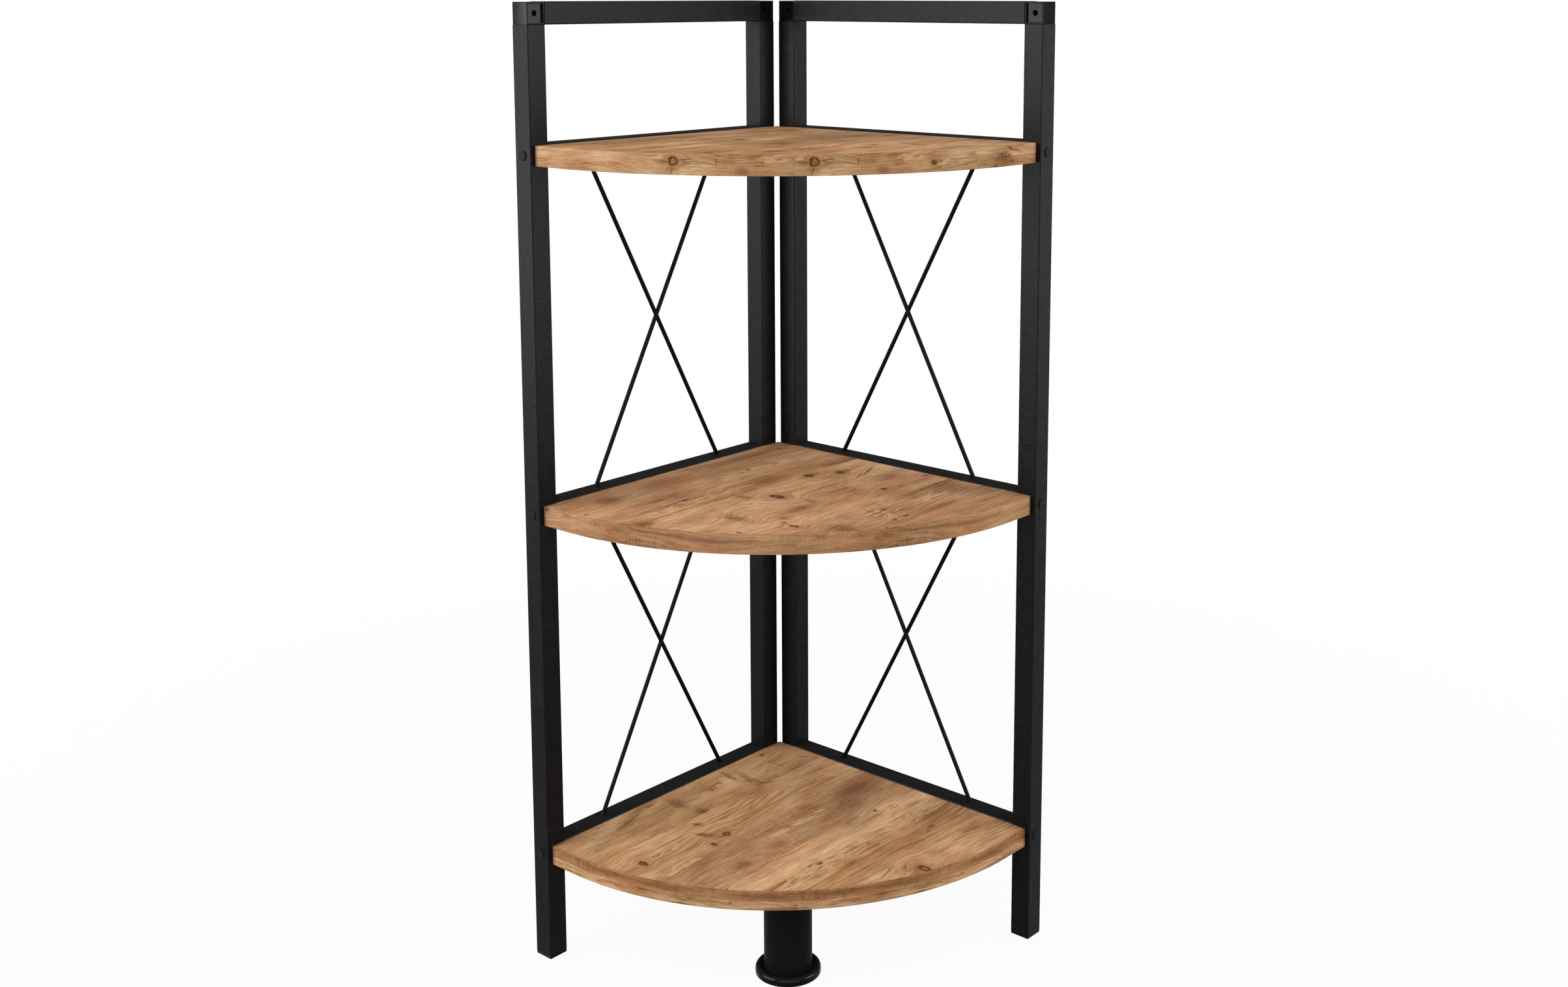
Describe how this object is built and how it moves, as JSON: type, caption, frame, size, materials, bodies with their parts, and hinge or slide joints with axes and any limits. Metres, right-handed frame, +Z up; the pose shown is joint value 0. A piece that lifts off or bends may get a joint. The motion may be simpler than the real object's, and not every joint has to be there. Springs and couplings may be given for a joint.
{
  "type": "corner shelf unit",
  "caption": "Open corner shelf unit: quarter-round wood-look shelves between two black square-tube side frames with crossed rod braces, on post feet and a round front leg.",
  "frame": {"origin": "on the floor, under the middle of the unit's overall box", "axes": "+Z up; the room corner lies towards -X and +Y, the left frame stands along Y at low X, the right frame along X at high Y, and the open front looks towards +X and -Y"},
  "size_m": [0.3366, 0.3366, 0.8765],
  "materials": {
    "powder_coat": "black powder coat, fine orange peel, satin",
    "leg_coat": "smooth black coat, satin",
    "leg_plastic": "smooth black moulding, satin",
    "black_plastic": "smooth dark grey to black moulding, slight gloss",
    "black_steel": "blackened steel, satin",
    "zinc_steel": "bright zinc plate",
    "pine_board": "light brown pine-look surface with knots, grain along the left frame, satin",
    "pine_edging": "edging strip in the same pine look, grain along the curve, satin"
  },
  "bodies": {
    "root": {"left_front_post": "powder_coat", "left_front_foot_cap": "black_plastic", "left_front_corner_connector": "black_plastic", "left_front_rail_bolt_lower": "black_steel", "left_front_shelf_screw_lower": "zinc_steel", "left_front_rail_bolt_middle": "black_steel", "left_front_shelf_screw_middle": "zinc_steel", "left_front_rail_bolt_upper": "black_steel", "left_front_shelf_screw_upper": "zinc_steel", "left_rear_post": "powder_coat", "left_rear_foot_cap": "black_plastic", "left_rear_corner_connector": "black_plastic", "left_rear_rail_bolt_lower": "black_steel", "left_rear_shelf_screw_lower": "zinc_steel", "left_rear_rail_bolt_middle": "black_steel", "left_rear_shelf_screw_middle": "zinc_steel", "left_rear_rail_bolt_upper": "black_steel", "left_rear_shelf_screw_upper": "zinc_steel", "left_top_rail": "powder_coat", "left_shelf_rail_lower": "powder_coat", "left_shelf_rail_middle": "powder_coat", "left_shelf_rail_upper": "powder_coat", "left_cross_brace_lower": "powder_coat", "left_cross_brace_upper": "powder_coat", "right_front_post": "powder_coat", "right_front_foot_cap": "black_plastic", "right_front_corner_connector": "black_plastic", "right_front_rail_bolt_lower": "black_steel", "right_front_shelf_screw_lower": "zinc_steel", "right_front_rail_bolt_middle": "black_steel", "right_front_shelf_screw_middle": "zinc_steel", "right_front_rail_bolt_upper": "black_steel", "right_front_shelf_screw_upper": "zinc_steel", "right_rear_post": "powder_coat", "right_rear_foot_cap": "black_plastic", "right_rear_corner_connector": "black_plastic", "right_rear_rail_bolt_lower": "black_steel", "right_rear_shelf_screw_lower": "zinc_steel", "right_rear_rail_bolt_middle": "black_steel", "right_rear_shelf_screw_middle": "zinc_steel", "right_rear_rail_bolt_upper": "black_steel", "right_rear_shelf_screw_upper": "zinc_steel", "right_top_rail": "powder_coat", "right_shelf_rail_lower": "powder_coat", "right_shelf_rail_middle": "powder_coat", "right_shelf_rail_upper": "powder_coat", "right_cross_brace_lower": "powder_coat", "right_cross_brace_upper": "powder_coat", "shelf_board_lower": "pine_board", "shelf_edging_lower": "pine_edging", "shelf_board_middle": "pine_board", "shelf_edging_middle": "pine_edging", "shelf_board_upper": "pine_board", "shelf_edging_upper": "pine_edging", "front_leg_column": "leg_coat", "front_leg_foot": "leg_plastic", "front_leg_bolt": "zinc_steel", "front_leg_nut": "zinc_steel"}
  },
  "joints": []
}
